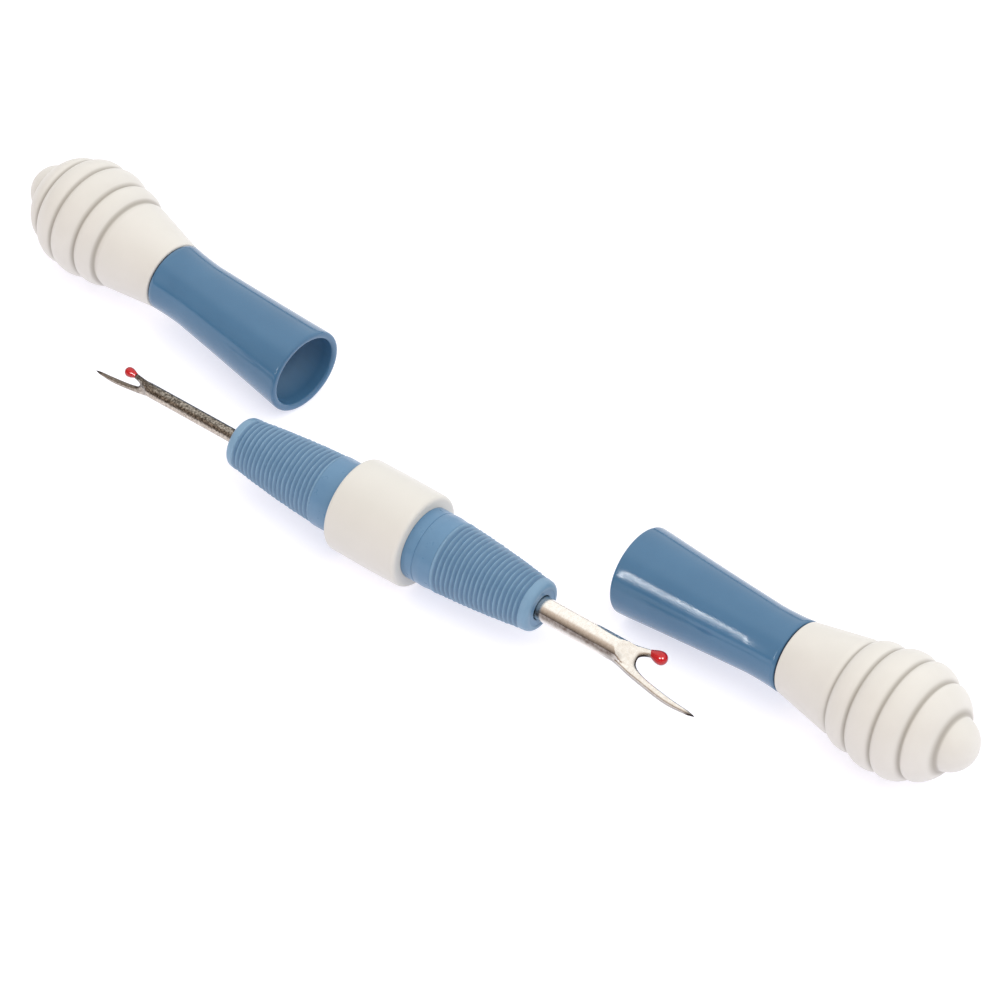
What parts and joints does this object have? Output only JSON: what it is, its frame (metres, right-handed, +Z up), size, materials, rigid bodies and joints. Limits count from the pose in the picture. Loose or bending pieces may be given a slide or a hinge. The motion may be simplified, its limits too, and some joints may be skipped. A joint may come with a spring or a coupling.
{
  "type": "seam ripper",
  "caption": "Double-ended seam ripper: a fork at each end of a ribbed handle with a round collar, and flared pull-off caps with ringed thread-eraser heads.",
  "frame": {"origin": "on the handle's axis, at the middle of the collar", "axes": "+X along the handle towards the large fork, +Z up; both caps lie on the +Y side"},
  "size_m": [0.2156, 0.0461, 0.0215],
  "materials": {
    "ivory_plastic": "satin moulded",
    "blue_plastic": "glossy moulded",
    "blue_grip": "soft satin, ribbed",
    "steel": "nickel plated, ground",
    "red_bead": "glossy",
    "ivory_eraser": "soft satin",
    "dark_plastic": "moulded"
  },
  "bodies": {
    "handle": {"collar": "ivory_plastic", "core_small": "blue_plastic", "core_large": "blue_plastic", "grip_small": "blue_grip", "grip_large": "blue_grip", "blade_small": "steel", "blade_large": "steel", "ball_small": "red_bead", "ball_large": "red_bead"},
    "cap_small": {"cap_shell_small": "blue_plastic", "cap_liner_small": "dark_plastic", "cap_head_small": "ivory_eraser"},
    "cap_large": {"cap_shell_large": "blue_plastic", "cap_liner_large": "dark_plastic", "cap_head_large": "ivory_eraser"}
  },
  "joints": [
    {"name": "cap_small_pull", "type": "slide", "parent": "handle", "child": "cap_small", "axis": [-1, 0, 0], "range_m": [-0.02805, 0.034]},
    {"name": "cap_large_pull", "type": "slide", "parent": "handle", "child": "cap_large", "axis": [1, 0, 0], "range_m": [-0.03235, 0.0305]}
  ]
}
